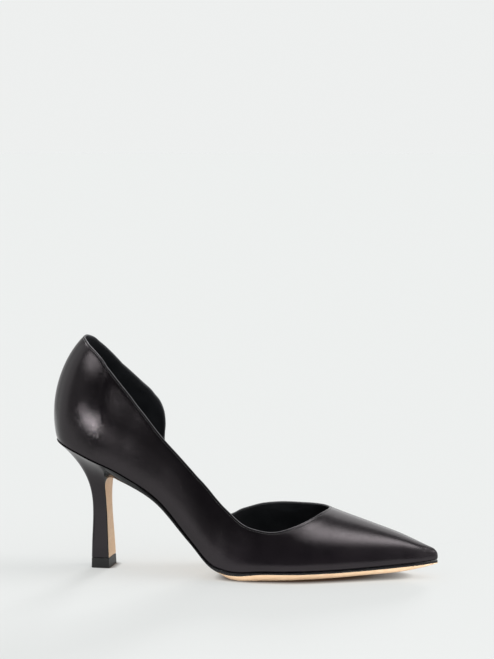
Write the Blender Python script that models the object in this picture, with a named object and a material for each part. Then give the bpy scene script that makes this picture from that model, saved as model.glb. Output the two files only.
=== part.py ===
"""Right shoe of a pointed leather pump with a slim heel, cut out at the waist on its inner side.

X runs from the heel to the toe, Y to the wearer's left, which is the inner side of this shoe, and Z up.
Tables and sizes are in millimetres and become metres where the meshes are made.
"""

import bpy
import bmesh
import numpy as np

MM = 0.001

# Driving sizes
LENGTH = 238.0
HEEL_HEIGHT = 80.6
BACK_HEIGHT = 64.5
BALL_OUTER = 36.5
BALL_INNER = 36.0
WALL = 1.6
GAP = 0.3
TOP_PIECE_HEIGHT = 6.3

# The last, one row for each section from the heel back to the toe tip. The feather line, where the upper
# meets the sole, has its x, its y on the outer and inner side and its z, with a lift for the inner arch.
# The ridge over the foot has its x, y and z. The wall leaves the feather line with a lean forward, a rise
# and a flare outward, and reaches the ridge over a half width. The pitch is how steeply the ridge falls
# towards the toe where the leather closes over it.
LAST_COLUMNS = (
    "x", "outer", "inner", "z", "lift",
    "ridge_x", "ridge_y", "ridge_z",
    "lean", "rise", "flare", "half", "pitch",
)
LAST = {
    "heel back": (0.2, 0.0, 0.0, HEEL_HEIGHT, 0.0, 31.0, 0.0, 150.5, -1.0, 32.0, 7.5, 18.0, 0.0),
    "heel corner": (6.0, -15.5, 15.5, 78.8, 0.0, 34.0, 0.0, 151.0, 1.0, 31.0, 7.2, 21.0, 0.0),
    "heel side": (24.0, -23.5, 23.5, 71.4, 0.0, 45.0, 0.0, 150.5, 7.0, 28.0, 5.5, 21.0, 0.0),
    "breast": (46.0, -23.5, 21.5, 61.3, 0.0, 63.0, 0.0, 139.0, 8.0, 27.0, 4.5, 19.0, 0.0),
    "waist": (70.0, -23.0, 18.0, 45.3, 2.0, 84.0, 0.0, 116.0, 8.0, 24.0, 4.0, 18.0, 0.0),
    "arch": (91.0, -27.2, 20.0, 22.2, 2.5, 103.0, 1.0, 93.0, 7.0, 21.0, 4.0, 18.0, 0.0),
    "joint rise": (103.5, -30.6, 23.8, 9.6, 1.8, 114.0, 1.5, 80.0, 5.5, 19.5, 4.2, 18.5, 0.0),
    "joint back": (113.0, -33.0, 28.0, 6.4, 0.8, 122.0, 2.0, 71.0, 4.0, 18.0, 4.5, 19.0, 0.0),
    "ball": (138.0, -BALL_OUTER, BALL_INNER, 7.0, 0.0, 142.0, 3.0, 54.0, 1.5, 15.0, 4.5, 20.0, 0.1),
    "joint front": (158.0, -34.5, 35.0, 7.4, 0.0, 160.0, 3.5, 45.2, 0.5, 13.0, 4.0, 20.0, 0.3),
    "throat": (174.0, -29.0, 31.0, 7.6, 0.0, 174.0, 3.5, 39.7, 0.0, 12.0, 3.5, 18.0, 0.38),
    "vamp": (196.0, -20.0, 23.5, 8.4, 0.0, 196.0, 3.0, 31.2, 0.0, 10.0, 2.5, 13.0, 0.32),
    "toe": (217.0, -10.8, 15.0, 9.6, 0.0, 216.0, 2.5, 26.0, 0.0, 8.0, 1.5, 8.5, 0.32),
    "toe corner": (231.5, -4.0, 7.7, 10.6, 0.0, 229.0, 2.0, 21.2, 0.0, 5.0, 1.0, 5.0, 0.5),
    "toe tip": (LENGTH - 0.6, 1.8, 1.8, 11.2, 0.0, 233.5, 1.8, 18.5, 0.0, 3.6, 1.0, 2.0, 0.62),
}

# The top edge of the upper seen square from the side, as x and z from the back of the collar to the throat
COLLAR_BACK = (18.6, HEEL_HEIGHT + BACK_HEIGHT)
OUTER_EDGE = (
    (24.3, 138.8),
    (31.8, 131.7),
    (45.2, 117.4),
    (58.2, 100.5),
    (71.9, 86.1),
    (93.1, 62.9),
    (102.7, 52.9),
    (112.5, 42.9),
    (129.4, 32.2),
    (142.0, 30.4),
    (155.4, 33.6),
    (161.8, 36.3),
    (167.5, 39.2),
)
INNER_EDGE = (
    (20.2, 144.0),
    (24.0, 139.6),
    (29.2, 133.6),
    (40.7, 121.2),
    (48.5, 114.3),
    (56.5, 107.4),
    (60.8, 102.7),
    (63.4, 96.4),
    (64.2, 89.0),
    (63.5, 79.0),
    (65.0, 67.5),
    (71.0, 57.0),
    (82.0, 45.0),
    (94.0, 34.5),
    (106.0, 31.4),
    (112.0, 34.4),
    (121.0, 37.1),
    (138.0, 39.5),
    (156.0, 39.8),
    (166.0, 39.7),
)
THROAT_X = 171.7

# The outsole, by its distance from the heel back: the height of its edge, how far its belly hangs below
# the edge before the floor flattens it, and how far its upper side hangs in the middle
SOLE_COLUMNS = ("x", "edge", "belly", "crown")
SOLE = (
    (33.0, 4.8, 0.0, 0.0),
    (42.0, 5.2, 0.0, 0.0),
    (50.0, 3.8, 0.2, 0.0),
    (58.0, 2.6, 0.4, 0.0),
    (80.0, 1.4, 1.0, 0.2),
    (102.0, 1.1, 1.4, 0.4),
    (110.0, 2.0, 2.6, 0.7),
    (119.0, 1.9, 6.2, 1.0),
    (138.0, 1.3, 7.0, 1.4),
    (160.0, 1.4, 6.0, 1.4),
    (196.0, 1.4, 4.4, 1.0),
    (216.0, 1.4, 3.8, 0.6),
    (LENGTH, 1.3, 0.6, 0.0),
)
SOLE_MARGIN = 0.5
SOLE_TIP = 0.3
BELLY_POWER = 5.0

# The insole lies inside the wall and stops short of the heel back and the toe tip
INSOLE_THICKNESS = 2.0
INSOLE_INSET = WALL + GAP + 0.1
INSOLE_BACK = 1.2
INSOLE_TIP = 6.0

# The heel column below the flare, and the leather flap of the outsole on its front
HEEL_COLUMNS = ("z", "back", "front", "half")
HEEL = (
    (0.0, 23.3, 34.4, 9.0),
    (15.0, 23.5, 33.6, 8.3),
    (34.0, 23.9, 32.5, 6.9),
    (46.0, 23.7, 31.9, 7.2),
    (66.0, 23.4, 32.2, 8.6),
)
HEEL_CORNER = 1.6
CORNER_START = 0.5
CORNER_END = 0.72

# The flare from the column up to the seat: a thin lip, then a hollow curve that is tighter at the front
SEAT_FRONT = 33.0
HEEL_LIP = 0.3
FLARE_SPAN = 42.0
FLARE_POWER = 2.4
FLARE_FRONT_POWER = 5.0
FLARE_FADE = 3.0

# The fold where the outsole turns down the heel: the sole narrows to a share of its width, then runs in a
# hollow curve from the shank to the flap
FLAP_THICKNESS = 1.3
SEAT_LAP = 3.0
FOLD_FRONT = 42.0
FOLD_BOTTOM = 52.0
SHANK_GRADE = 0.5
TUCK_START = 66.0
TUCK = 0.8

# Colours and roughness
MATERIALS = {
    "black leather": ((0.012, 0.011, 0.012), 0.32),
    "tan leather": ((0.62, 0.40, 0.24), 0.5),
    "black lining": ((0.015, 0.014, 0.014), 0.45),
    "black rubber": ((0.014, 0.014, 0.014), 0.55),
}

# Mesh densities, and how the columns and rows crowd together where the form turns fastest
EDGE_STEPS_OUTER = 40
EDGE_STEPS_INNER = 50
EDGE_CROWDING = 0.6
FOOT_SPREAD = 0.55
VAMP_STEPS = 20
TOE_CROWDING = 1.8
WALL_ROWS = 9
ROW_CURVE = 1.3
SOLE_ROWS = 56
SOLE_CROWDING = 1.4
SOLE_STEPS = (0.0, 0.025, 0.07, 0.14, 0.24, 0.37, 0.5, 0.63, 0.76, 0.86, 0.93, 0.975, 1.0)
INSOLE_ROWS = 36
INSOLE_STEPS = (0.0, 0.1, 0.3, 0.5, 0.7, 0.9, 1.0)
HEEL_RINGS = 22
HEEL_CROWDING = 1.6
HEEL_SIDE_STEPS = 16
HEEL_FRONT_STEPS = 4
SHARP_ANGLE = 40.0
MERGE_DISTANCE = 1e-6

# Small steps for slopes, along the feather line, up the wall and along the sole, and fineness of searches
STEP_S = 0.2
STEP_T = 0.004
STEP_SOLE = 1.0
BESIDE_RIDGE = 0.985
FINE = 6000
COARSE_S = 240
COARSE_T = 80
REFINEMENTS = 8
COLLAR_CLEAR = 6.0


def remove_objects():
    for item in list(bpy.data.objects):
        bpy.data.objects.remove(item, do_unlink=True)


def smooth(knots, values, at):
    """Smooth cubic curve through values at increasing knots, with slopes from each three neighbours."""
    knots = np.asarray(knots, float)
    values = np.asarray(values, float).reshape(len(knots), -1)
    at = np.atleast_1d(np.asarray(at, float))
    step = np.diff(knots)[:, None]
    chord = np.diff(values, axis=0) / step
    slope = np.empty_like(values)
    slope[1:-1] = (chord[:-1] * step[1:] + chord[1:] * step[:-1]) / (step[:-1] + step[1:])
    slope[0] = chord[0]
    slope[-1] = chord[-1]
    i = np.clip(np.searchsorted(knots, at, side="right") - 1, 0, len(knots) - 2)
    h = step[i]
    q = ((at - knots[i]) / h[:, 0])[:, None]
    rise = q * q * (3.0 - 2.0 * q)
    start = values[i] * (1.0 - rise) + slope[i] * h * q * (1.0 - q) ** 2
    return start + values[i + 1] * rise - slope[i + 1] * h * q * q * (1.0 - q)


def column(table, columns, name):
    return np.array([row[columns.index(name)] for row in table])


def closed_last():
    """The sections as one loop: heel back, outer side to the toe tip, inner side back to the heel."""
    rows = np.array(list(LAST.values()))
    get = {name: rows[:, i] for i, name in enumerate(LAST_COLUMNS)}
    shared = [get[name] for name in LAST_COLUMNS[LAST_COLUMNS.index("ridge_x"):]]
    outer = np.column_stack([get["x"], get["outer"], get["z"]] + shared)
    inner = np.column_stack([get["x"], get["inner"], get["z"] + get["lift"]] + shared)
    span = [np.linalg.norm(np.diff(side[:, :2], axis=0), axis=1) for side in (outer, inner)]
    knots = np.concatenate([[0.0], np.cumsum((span[0] + span[1]) / 2.0)])
    half = knots[-1]
    loop = np.vstack([outer, inner[-2:0:-1]])
    loop_knots = np.concatenate([knots, 2.0 * half - knots[-2:0:-1]])
    wide = np.vstack([loop, loop, loop])
    wide_knots = np.concatenate([loop_knots - 2.0 * half, loop_knots, loop_knots + 2.0 * half])
    return wide_knots, wide, half


LOOP_KNOTS, LOOP, TOE = closed_last()


def feather(s):
    """Points of the feather line and the outward direction there, s millimetres from the heel back."""
    s = np.atleast_1d(np.asarray(s, float))
    ahead = smooth(LOOP_KNOTS, LOOP[:, :2], s + STEP_S)
    behind = smooth(LOOP_KNOTS, LOOP[:, :2], s - STEP_S)
    along = ahead - behind
    along /= np.linalg.norm(along, axis=1)[:, None]
    out = np.column_stack([along[:, 1], -along[:, 0], np.zeros(len(s))])
    return smooth(LOOP_KNOTS, LOOP[:, :3], s), out


def wall(s, t):
    """Point on the outside of the last: s along the feather line, t from it (0) up to the ridge (1)."""
    s = np.atleast_1d(np.asarray(s, float))
    t = np.broadcast_to(np.asarray(t, float), s.shape)[:, None]
    values = smooth(LOOP_KNOTS, LOOP, s)
    foot, out = feather(s)
    ridge = values[:, 3:6]
    lean, rise, flare, half, pitch = (values[:, i:i + 1] for i in range(6, 11))
    handle = foot + np.hstack([lean, np.zeros_like(lean), rise]) + out * flare
    shoulder = ridge + out * half
    shoulder[:, 2:] -= half * pitch * out[:, :1]
    u = 1.0 - t
    return u ** 3 * foot + 3.0 * u * u * t * handle + 3.0 * u * t * t * shoulder + t ** 3 * ridge


def wall_normal(s, t):
    """Direction out of the wall, taken just beside the ridge where both sides meet."""
    beside = np.minimum(t, BESIDE_RIDGE)
    across = wall(s + STEP_S, beside) - wall(s - STEP_S, beside)
    upward = wall(s, beside + STEP_T) - wall(s, beside - STEP_T)
    normal = np.cross(across, upward)
    return normal / np.linalg.norm(normal, axis=1)[:, None]


def skin(s, t, depth):
    """Points a depth inside the wall; on the ridge both sides share one direction, so they meet there."""
    normal = wall_normal(s, t)
    on_ridge = t == 1.0
    normal[on_ridge] += wall_normal(-s[on_ridge], t[on_ridge])
    normal /= np.linalg.norm(normal, axis=1)[:, None]
    return wall(s, t) - depth * normal


def find_on_wall(x, z, low, high):
    """The place (s, t) between s = low and high where the wall shows at x and z seen from the side."""
    s_grid, t_grid = np.meshgrid(np.linspace(low, high, COARSE_S), np.linspace(0.0, 1.0, COARSE_T))
    points = wall(s_grid.ravel(), t_grid.ravel())
    best = np.argmin((points[:, 0] - x) ** 2 + (points[:, 2] - z) ** 2)
    place = np.array([s_grid.ravel()[best], t_grid.ravel()[best]])
    for _ in range(REFINEMENTS):
        here = wall(place[:1], place[1:])[0]
        by_s = (wall(place[:1] + STEP_S, place[1:])[0] - here) / STEP_S
        by_t = (wall(place[:1], place[1:] + STEP_T)[0] - here) / STEP_T
        slopes = np.array([[by_s[0], by_t[0]], [by_s[2], by_t[2]]])
        place = place + np.linalg.solve(slopes, [x - here[0], z - here[2]])
    return place


def find_on_line(x, z, s):
    """The t on the section at s whose height is nearest to z, for the back of the collar."""
    t = np.linspace(0.0, 1.0, FINE)
    points = wall(np.full(len(t), float(s)), t)
    return t[np.argmin((points[:, 0] - x) ** 2 + (points[:, 2] - z) ** 2)]


def find_on_ridge(x):
    """The s whose section reaches the ridge at x."""
    s = np.linspace(0.0, TOE, FINE)
    return s[np.argmin(np.abs(wall(s, np.ones(len(s)))[:, 0] - x))]


def edge_columns():
    """Places (s, t) along the top edge: the throat, the outer side, the collar back, the inner side."""
    throat = find_on_ridge(THROAT_X)
    back = np.array([0.0, find_on_line(*COLLAR_BACK, 0.0)])
    outer = [find_on_wall(x, z, COLLAR_CLEAR, TOE) for x, z in OUTER_EDGE]
    inner = [find_on_wall(x, z, -TOE, -COLLAR_CLEAR) for x, z in INNER_EDGE]
    past_outer = (-inner[-1][0], 2.0 - inner[-1][1])
    past_inner = (-outer[-1][0], 2.0 - outer[-1][1])
    places = [past_outer, (throat, 1.0)] + outer[::-1] + [back] + inner + [(-throat, 1.0), past_inner]
    places = np.array(places)
    points = wall(places[:, 0], places[:, 1])
    knots = np.concatenate([[0.0], np.cumsum(np.linalg.norm(np.diff(points, axis=0), axis=1))])
    first, middle, last = knots[1], knots[len(outer) + 2], knots[-2]
    outer_side = smooth(knots, places, middle + (first - middle) * ease(EDGE_STEPS_OUTER))
    inner_side = smooth(knots, places, middle + (last - middle) * ease(EDGE_STEPS_INNER))
    outer_side[-1] = (throat, 1.0)
    inner_side[-1] = (-throat, 1.0)
    return outer_side, inner_side, throat


def ease(steps):
    """Shares from 0 to 1, closer together at both ends."""
    even = np.linspace(0.0, 1.0, steps + 1)
    return even - EDGE_CROWDING * np.sin(2.0 * np.pi * even) / (2.0 * np.pi)


def spread_feet(tops):
    """Where each column stands on the feather line: under its top, but evened out past steep edges."""
    even = np.linspace(tops[0], tops[-1], len(tops))
    return tops + (even - tops) * FOOT_SPREAD


def side_grid(edge, throat, sign):
    """Grid of places (s, t) on one side, columns from the heel back to the toe, rows from the foot up."""
    left = np.linspace(1.0, 0.0, VAMP_STEPS + 1)[1:]
    ridge = TOE - (TOE - throat) * left ** TOE_CROWDING
    tops = np.vstack([edge, np.column_stack([sign * ridge, np.ones(len(ridge))])])
    feet = np.concatenate([spread_feet(edge[:, 0]), sign * ridge])
    rows = np.linspace(0.0, 1.0, WALL_ROWS + 1)
    s = feet[:, None] + (tops[:, :1] - feet[:, None]) * rows ** ROW_CURVE
    t = tops[:, 1:] * rows
    return s, t


def make_object(name, points, faces, material):
    mesh = bpy.data.meshes.new(name)
    mesh.from_pydata((np.asarray(points) * MM).tolist(), [], [list(face) for face in faces])
    tidy = bmesh.new()
    tidy.from_mesh(mesh)
    bmesh.ops.remove_doubles(tidy, verts=tidy.verts, dist=MERGE_DISTANCE)
    bmesh.ops.recalc_face_normals(tidy, faces=tidy.faces)
    tidy.to_mesh(mesh)
    tidy.free()
    mesh.shade_smooth()
    mesh.set_sharp_from_angle(angle=np.radians(SHARP_ANGLE))
    mesh.materials.append(material)
    item = bpy.data.objects.new(name, mesh)
    bpy.context.scene.collection.objects.link(item)
    return item


def make_material(name):
    colour, roughness = MATERIALS[name]
    material = bpy.data.materials.new(name)
    material.use_nodes = True
    shader = material.node_tree.nodes["Principled BSDF"]
    shader.inputs["Base Color"].default_value = (*colour, 1.0)
    shader.inputs["Roughness"].default_value = roughness
    shader.inputs["Metallic"].default_value = 0.0
    return material


def grid_faces(start, columns, rows):
    """Quads of a grid of points that begins at start and lists its columns one after another."""
    faces = []
    for i in range(columns - 1):
        for j in range(rows - 1):
            a = start + i * rows + j
            faces.append((a, a + rows, a + rows + 1, a + 1))
    return faces


def build_upper(material):
    """One shell: both sides outside, both sides inside, joined by the rim below and the top edge."""
    outer_edge, inner_edge, throat = edge_columns()
    points = []
    faces = []
    starts = []
    rows = WALL_ROWS + 1
    for depth in (0.0, WALL):
        for edge, sign in ((outer_edge, 1.0), (inner_edge, -1.0)):
            s, t = side_grid(edge, throat, sign)
            starts.append(len(points))
            points.extend(skin(s.ravel(), t.ravel(), depth))
            faces.extend(grid_faces(starts[-1], len(s), rows))
    for outside, inside, steps in zip(starts[:2], starts[2:], (EDGE_STEPS_OUTER, EDGE_STEPS_INNER)):
        for i in range(steps + VAMP_STEPS):
            a, b = outside + i * rows, inside + i * rows
            faces.append((a, a + rows, b + rows, b))
        for i in range(steps):
            a, b = outside + i * rows + rows - 1, inside + i * rows + rows - 1
            faces.append((a, a + rows, b + rows, b))
    return make_object("upper", points, faces, material)


def sole_value(x, name):
    """A column of the outsole's table at x."""
    return smooth(column(SOLE, SOLE_COLUMNS, "x"), column(SOLE, SOLE_COLUMNS, name), x)


def sole_surface(s, steps, inset, crown_share=1.0):
    """Points across the shoe at each s, from the outer to the inner side, on the last's own bottom."""
    foot_outer, out_outer = feather(s)
    foot_inner, out_inner = feather(-s)
    normal = slope_normal(s)
    grade = -normal[:, 0] / normal[:, 2]
    left = foot_outer - out_outer * inset
    right = foot_inner - out_inner * inset
    left[:, 2] -= grade * out_outer[:, 0] * inset
    right[:, 2] -= grade * out_inner[:, 0] * inset
    points = left[:, None] + (right - left)[:, None] * steps[None, :, None]
    points[:, :, 2] -= crown_share * sole_value(foot_outer[:, 0], "crown") * 4.0 * steps * (1.0 - steps)
    return points


def slope_normal(s):
    """Direction out of the sole, square to its slope seen from the side."""
    ahead = (feather(s + STEP_SOLE)[0] + feather(-s - STEP_SOLE)[0]) / 2.0
    behind = (feather(s - STEP_SOLE)[0] + feather(STEP_SOLE - s)[0]) / 2.0
    along = ahead - behind
    normal = np.column_stack([along[:, 2], np.zeros(len(s)), -along[:, 0]])
    return normal / np.linalg.norm(normal, axis=1)[:, None]


def s_at(x):
    """The s on the outer feather line at a distance x from the heel back."""
    s = np.linspace(0.0, TOE, FINE)
    return s[np.argmin(np.abs(feather(s)[0][:, 0] - x))]


def sheet_faces(rows, steps):
    """Faces of a sheet whose upper grid comes first and lower grid after it, closed all round."""
    count = rows * steps
    faces = grid_faces(0, rows, steps) + grid_faces(count, rows, steps)
    for i in range(rows - 1):
        for j in (0, steps - 1):
            a = i * steps + j
            faces.append((a, a + steps, count + a + steps, count + a))
    for j in range(steps - 1):
        for i in (0, rows - 1):
            a = i * steps + j
            faces.append((a, a + 1, count + a + 1, count + a))
    return faces


def heel_column(z, name):
    """A column of the heel's table at the height z."""
    return smooth(column(HEEL, HEEL_COLUMNS, "z"), column(HEEL, HEEL_COLUMNS, name), z)[:, 0]


def rounded_corner(share, back, front, half):
    """Point on the outer half of a heel section, from its front corner (0) to the middle of its back (1)."""
    along = np.clip(share / CORNER_START, 0.0, 1.0)
    turn = np.clip((share - CORNER_START) / (CORNER_END - CORNER_START), 0.0, 1.0) * np.pi / 2.0
    cross = np.clip((share - CORNER_END) / (1.0 - CORNER_END), 0.0, 1.0)
    x = front + (back + HEEL_CORNER - front) * along - HEEL_CORNER * np.sin(turn)
    y = -half + HEEL_CORNER * (1.0 - np.cos(turn)) + (half - HEEL_CORNER) * cross
    return x, y


def heel_rings():
    """Rings of the heel from its seat down to the top piece, each as outer half, inner half and front."""
    share = np.linspace(0.0, 1.0, HEEL_SIDE_STEPS + 1)
    s = s_at(SEAT_FRONT) * (1.0 - share)
    foot, out = feather(s)
    foot_inner, out_inner = feather(-s)
    seat = foot + out * SOLE_MARGIN
    seat_inner = foot_inner + out_inner * SOLE_MARGIN
    seat_z = foot[:, 2] - GAP
    bottom = TOP_PIECE_HEIGHT + GAP
    power = FLARE_POWER + (FLARE_FRONT_POWER - FLARE_POWER) * (1.0 - share) ** FLARE_FADE
    rings = []
    for level in np.linspace(0.0, 1.0, HEEL_RINGS) ** HEEL_CROWDING:
        z = seat_z + (bottom - seat_z) * level
        depth = np.maximum(seat_z - z - HEEL_LIP, 0.0)
        flare = np.maximum(1.0 - depth / FLARE_SPAN, 0.0)[:, None] ** power[:, None]
        front = heel_column(z, "front") - FLAP_THICKNESS - GAP
        x, y = rounded_corner(share, heel_column(z, "back"), front, heel_column(z, "half"))
        outer = np.column_stack([x, y]) * (1.0 - flare) + seat[:, :2] * flare
        inner = np.column_stack([x, -y]) * (1.0 - flare) + seat_inner[:, :2] * flare
        rings.append((np.column_stack([outer, z]), np.column_stack([inner, z])))
    return rings


def build_heel(material):
    """Stack of rings closed at the seat and above the top piece."""
    points = []
    faces = []
    rings = heel_rings()
    for outer, inner in rings:
        across = np.linspace(0.0, 1.0, HEEL_FRONT_STEPS + 1)[1:-1, None]
        front = inner[0] + (outer[0] - inner[0]) * across
        points.extend(np.vstack([outer, inner[-2::-1], front]))
    size = len(points) // len(rings)
    for i in range(len(rings) - 1):
        for j in range(size):
            a, b = i * size + j, i * size + (j + 1) % size
            faces.append((a, b, b + size, a + size))
    last_inner = 2 * HEEL_SIDE_STEPS
    for start in (0, (len(rings) - 1) * size):
        front = list(range(start + last_inner, start + size)) + [start]
        faces.append(tuple(front + [start + 1, start + last_inner - 1]))
        for j in range(1, HEEL_SIDE_STEPS):
            a, b = start + j, start + last_inner - j
            faces.append((a, a + 1, b - 1, b) if a + 1 != b - 1 else (a, a + 1, b))
    return make_object("heel", points, faces, material)


def build_outsole(material):
    """Sole from the toe to the heel, then folded down the front of the heel as a thin flap."""
    across = np.asarray(SOLE_STEPS)
    toe_end, seat_end = TOE - SOLE_TIP, s_at(SEAT_FRONT + SEAT_LAP)
    s = toe_end + (seat_end - toe_end) * np.linspace(0.0, 1.0, SOLE_ROWS) ** SOLE_CROWDING
    top = sole_surface(s, across, -SOLE_MARGIN)
    top[:, :, 2] -= GAP
    near_heel = np.clip((s_at(TUCK_START) - s) / (s_at(TUCK_START) - seat_end), 0.0, 1.0) ** 2
    below_s = s + (s_at(FOLD_FRONT) - s_at(SEAT_FRONT)) * near_heel
    x = feather(below_s)[0][:, 0]
    fullness = 1.0 - np.abs(2.0 * across - 1.0) ** BELLY_POWER
    depth = sole_value(x, "edge") + sole_value(x, "belly") * fullness
    bottom = sole_surface(below_s, across, -SOLE_MARGIN, 0.0)
    bottom[:, :, 2] -= GAP
    bottom = bottom + slope_normal(below_s)[:, None] * depth[:, :, None]
    bottom[:, :, 2] = np.maximum(bottom[:, :, 2], 0.0)
    bottom[:, :, 1] *= 1.0 - (1.0 - TUCK) * near_heel[:, None]
    flap_back, flap_face = flap_rows(bottom[-1], across)
    top = np.vstack([top, flap_back])
    bottom = np.vstack([bottom, flap_face])
    points = np.vstack([top.reshape(-1, 3), bottom.reshape(-1, 3)])
    return make_object("outsole", points, sheet_faces(len(top), len(across)), material)


def flap_rows(shank_end, across):
    """Rows of the flap: its back lies on the heel's front, its face leaves the shank in a hollow curve."""
    backs = np.array([outer[0] + (inner[0] - outer[0]) * across[:, None] for outer, inner in heel_rings()])
    backs[:, :, 0] += GAP
    faces = backs.copy()
    faces[:, :, 0] = heel_column(faces[:, :, 2].ravel(), "front").reshape(len(faces), -1)
    in_fold = int(np.sum(backs[:, 0, 2] > FOLD_BOTTOM))
    fold_end = faces[in_fold]
    corner = fold_end.copy()
    corner[:, 2] = shank_end[:, 2] + (shank_end[:, 0] - fold_end[:, 0]) * SHANK_GRADE
    share = (np.arange(in_fold) + 1.0)[:, None, None] / (in_fold + 1.0)
    left = 1.0 - share
    faces[:in_fold] = left ** 2 * shank_end + 2.0 * left * share * corner + share ** 2 * fold_end
    return backs, faces


def build_insole(material):
    """Thin sheet on the bottom of the last, inside the wall."""
    steps = np.asarray(INSOLE_STEPS)
    s = np.linspace(s_at(INSOLE_BACK), TOE - INSOLE_TIP, INSOLE_ROWS)
    bottom = sole_surface(s, steps, INSOLE_INSET)
    top = bottom - slope_normal(s)[:, None] * INSOLE_THICKNESS
    points = np.vstack([top.reshape(-1, 3), bottom.reshape(-1, 3)])
    return make_object("insole", points, sheet_faces(len(s), len(steps)), material)


def build_top_piece(material):
    """Rubber lift under the heel column, with the column's own rounded section."""
    share = np.linspace(0.0, 1.0, HEEL_SIDE_STEPS + 1)
    points = []
    for z in (TOP_PIECE_HEIGHT, 0.0):
        level = np.full(len(share), z)
        back, front, half = (heel_column(level, name) for name in HEEL_COLUMNS[1:])
        x, y = rounded_corner(share, back, front, half)
        points.extend(np.column_stack([x, y, level]))
        points.extend(np.column_stack([x, -y, level])[-2::-1])
    size = len(points) // 2
    faces = [tuple(range(size)), tuple(range(size, 2 * size))]
    for j in range(size):
        b = (j + 1) % size
        faces.append((j, b, b + size, j + size))
    return make_object("top_piece", points, faces, material)


def stand_on_origin(items):
    """Parent the pieces to an empty that puts the middle of the footprint on the origin."""
    corners = np.array([vertex.co[:] for item in items for vertex in item.data.vertices])
    middle = (corners.min(axis=0) + corners.max(axis=0)) / 2.0
    empty = bpy.data.objects.new("pump", None)
    bpy.context.scene.collection.objects.link(empty)
    empty.location = (-middle[0], -middle[1], -corners[:, 2].min())
    for item in items:
        item.parent = empty
    bpy.context.view_layer.update()


def main():
    remove_objects()
    black_leather = make_material("black leather")
    items = [
        build_upper(black_leather),
        build_insole(make_material("black lining")),
        build_outsole(make_material("tan leather")),
        build_heel(black_leather),
        build_top_piece(make_material("black rubber")),
    ]
    stand_on_origin(items)


main()
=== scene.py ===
"""Looks of a right pump shoe: leather upper with its lining and stitches, sock, sole, heel and top piece.

Tables and sizes are in millimetres in the shoe's own frame: X from the heel back to the toe, Y to the
inner side, Z up from the floor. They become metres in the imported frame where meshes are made.
"""

import math

import bmesh
import bpy
import numpy as np
from mathutils import Matrix, Vector
from mathutils.bvhtree import BVHTree
from mathutils.kdtree import KDTree


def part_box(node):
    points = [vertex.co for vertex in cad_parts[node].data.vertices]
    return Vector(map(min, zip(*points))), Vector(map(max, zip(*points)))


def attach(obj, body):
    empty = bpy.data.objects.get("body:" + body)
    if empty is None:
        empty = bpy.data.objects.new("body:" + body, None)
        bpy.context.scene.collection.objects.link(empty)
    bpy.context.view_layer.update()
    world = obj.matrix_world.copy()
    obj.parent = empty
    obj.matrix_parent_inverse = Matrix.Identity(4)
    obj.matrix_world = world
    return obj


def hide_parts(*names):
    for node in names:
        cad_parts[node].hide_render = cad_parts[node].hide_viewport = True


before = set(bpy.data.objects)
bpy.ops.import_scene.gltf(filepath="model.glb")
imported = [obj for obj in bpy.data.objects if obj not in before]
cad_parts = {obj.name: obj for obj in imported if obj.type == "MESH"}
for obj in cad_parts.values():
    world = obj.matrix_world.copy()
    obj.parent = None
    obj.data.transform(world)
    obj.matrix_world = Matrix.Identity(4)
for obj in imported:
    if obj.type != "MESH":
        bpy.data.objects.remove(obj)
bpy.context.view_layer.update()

MM = 0.001
BODY = "root"

# Driving sizes of the shoe
LENGTH = 238.0
HEEL_HEIGHT = 80.6
BACK_HEIGHT = 64.5
BALL_OUTER = 36.5
BALL_INNER = 36.0
WALL = 1.6
GAP = 0.3
TOP_PIECE_HEIGHT = 6.3

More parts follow.
